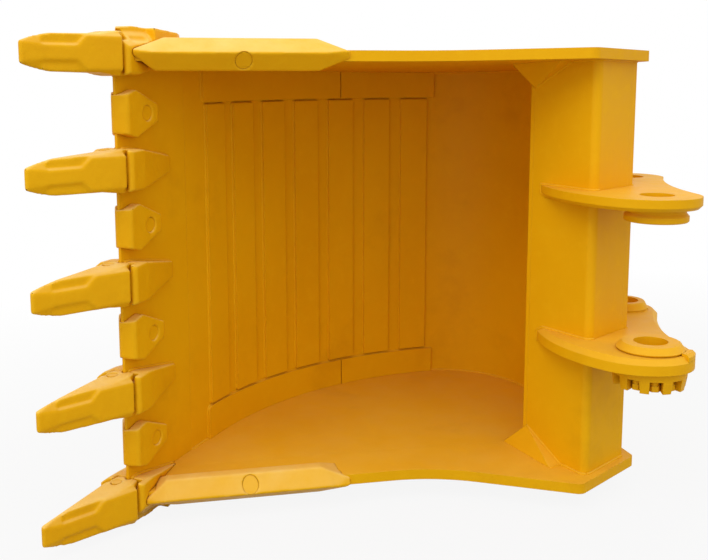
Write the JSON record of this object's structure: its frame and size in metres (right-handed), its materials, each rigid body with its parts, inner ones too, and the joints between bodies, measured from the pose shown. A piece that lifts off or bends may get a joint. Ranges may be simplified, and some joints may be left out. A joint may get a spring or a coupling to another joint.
{
  "type": "rock bucket",
  "caption": "Heavy excavator rock bucket with replaceable teeth, lip shrouds, side cutters, inner wear strips, torque tube and two hinge ears with a side clearance adjuster.",
  "frame": {"origin": "on the axis of the stick pin, midway between the two hinge ears", "axes": "+X along the mouth from the lip to the hinge ears, +Y into the bucket away from its mouth, +Z across the bucket's width along the stick pin; the bucket lies on its -Z side"},
  "size_m": [2.046, 1.3486, 1.4656],
  "materials": {
    "plate_paint": "satin paint",
    "cast_paint": "satin paint on casting",
    "steel_pin": "painted steel"
  },
  "bodies": {
    "bucket": {"adapter_1": "cast_paint", "adapter_2": "cast_paint", "adapter_3": "cast_paint", "adapter_4": "cast_paint", "adapter_5": "cast_paint", "adjuster_shims": "steel_pin", "back_plate": "plate_paint", "corner_gusset_lower": "plate_paint", "corner_gusset_upper": "plate_paint", "corner_liner_lower_front": "plate_paint", "corner_liner_lower_rear": "plate_paint", "corner_liner_upper_front": "plate_paint", "corner_liner_upper_rear": "plate_paint", "cutter_retainers": "steel_pin", "ear_end_lugs": "plate_paint", "floor_plate": "plate_paint", "heel_plate": "plate_paint", "hinge_ear_lower": "plate_paint", "hinge_ear_upper": "plate_paint", "link_boss_lower": "plate_paint", "link_boss_upper": "plate_paint", "lip_plate": "plate_paint", "lip_shroud_1": "cast_paint", "lip_shroud_2": "cast_paint", "lip_shroud_3": "cast_paint", "lip_shroud_4": "cast_paint", "outer_wear_strips": "plate_paint", "shroud_retainers": "steel_pin", "side_bar_lower": "plate_paint", "side_bar_upper": "plate_paint", "side_cutter_lower": "cast_paint", "side_cutter_upper": "cast_paint", "side_plate_lower": "plate_paint", "side_plate_upper": "plate_paint", "side_wear_plate_lower": "plate_paint", "side_wear_plate_upper": "plate_paint", "stick_boss_upper": "plate_paint", "tooth_1": "cast_paint", "tooth_2": "cast_paint", "tooth_3": "cast_paint", "tooth_4": "cast_paint", "tooth_5": "cast_paint", "tooth_lock_pins": "steel_pin", "torque_tube_bent_plate": "plate_paint", "torque_tube_closing_plate": "plate_paint", "wear_strip_1": "plate_paint", "wear_strip_2": "plate_paint", "wear_strip_3": "plate_paint", "wear_strip_4": "plate_paint", "wear_strip_5": "plate_paint", "wear_strip_6": "plate_paint", "wear_strip_7": "plate_paint"},
    "adjuster": {"adjuster_collar": "plate_paint", "adjuster_ring": "plate_paint", "adjuster_bolts": "steel_pin"}
  },
  "joints": [
    {"name": "adjuster_slide", "type": "slide", "parent": "bucket", "child": "adjuster", "axis": [0, 0, 1], "range_m": [0, 0.005], "deforming": ["adjuster_shims"]}
  ]
}
